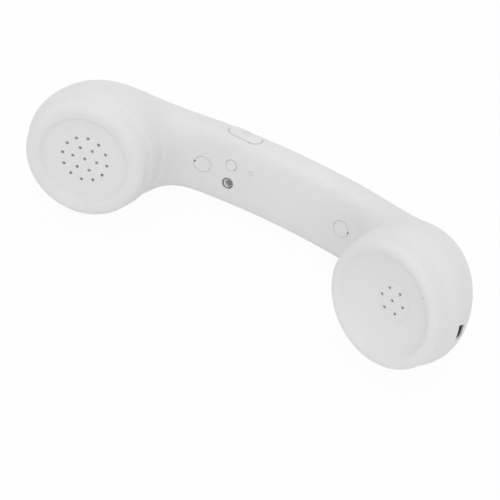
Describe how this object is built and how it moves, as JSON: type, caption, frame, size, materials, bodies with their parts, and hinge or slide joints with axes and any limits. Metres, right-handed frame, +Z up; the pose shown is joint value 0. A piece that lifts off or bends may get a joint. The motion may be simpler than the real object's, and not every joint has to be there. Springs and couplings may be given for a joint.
{
  "type": "telephone handset",
  "caption": "Classic-shaped wireless telephone handset lying on its side, with pierced ear and mouth caps, a round call key, a lamp and a volume rocker.",
  "frame": {"origin": "middle of the bounding box's underside, on the surface that the handset lies on", "axes": "+X along the handle from the ear cup to the mouth cup, +Y away from the side that faces the head, +Z up as it rests on its side"},
  "size_m": [0.234, 0.0762, 0.0676],
  "materials": {
    "shell_white": "soft-touch matte",
    "lamp_clear": "clear, glossy",
    "pipe_frosted": "frosted",
    "steel": "bright zinc",
    "socket_steel": "drawn",
    "board_green": "lacquered board",
    "part_black": "moulded, fine grain",
    "plunger_grey": "smooth",
    "boot_rubber": "soft rubber",
    "foam_grey": "closed-cell foam",
    "magnet_grey": "plated",
    "cone_film": "pressed film",
    "capsule_metal": "drawn can",
    "cell_foil": "pouch foil"
  },
  "bodies": {
    "root": {"front_shell": "shell_white", "back_shell": "shell_white", "ear_cap": "shell_white", "mouth_cap": "shell_white", "screw_plug_ear": "shell_white", "screw_plug_mouth": "shell_white", "case_screws": "steel", "main_board": "board_green", "board_screws": "steel", "radio_shield": "steel", "board_parts": "part_black", "board_connectors": "part_black", "call_switch": "part_black", "status_lamp": "lamp_clear", "status_lamp_leads": "steel", "charge_light_pipe": "pipe_frosted", "charge_light": "pipe_frosted", "volume_switches": "part_black", "speaker_gasket": "foam_grey", "speaker_frame": "part_black", "speaker_magnet": "magnet_grey", "speaker_cone": "cone_film", "charge_board": "board_green", "charge_board_screws": "steel", "usb_socket": "socket_steel", "usb_socket_tongue": "part_black", "microphone": "capsule_metal", "microphone_boot": "boot_rubber", "battery": "cell_foil", "battery_pad": "foam_grey"},
    "call_key": {"call_key": "shell_white", "call_plunger": "plunger_grey"},
    "volume_rocker": {"volume_rocker": "shell_white"}
  },
  "joints": [
    {"name": "call_key_press", "type": "slide", "parent": "root", "child": "call_key", "axis": [0, 0.9239, -0.3827], "range_m": [0, 0.0004], "stiffness_N_per_m": 400},
    {"name": "volume_rock", "type": "hinge", "parent": "root", "child": "volume_rocker", "pos_m": [-0.02551, 0.0291, 0.0325], "axis": [0, 0.9239, -0.3827], "range_deg": [-2.5, 2.5], "stiffness_Nm_per_rad": 0.05}
  ]
}
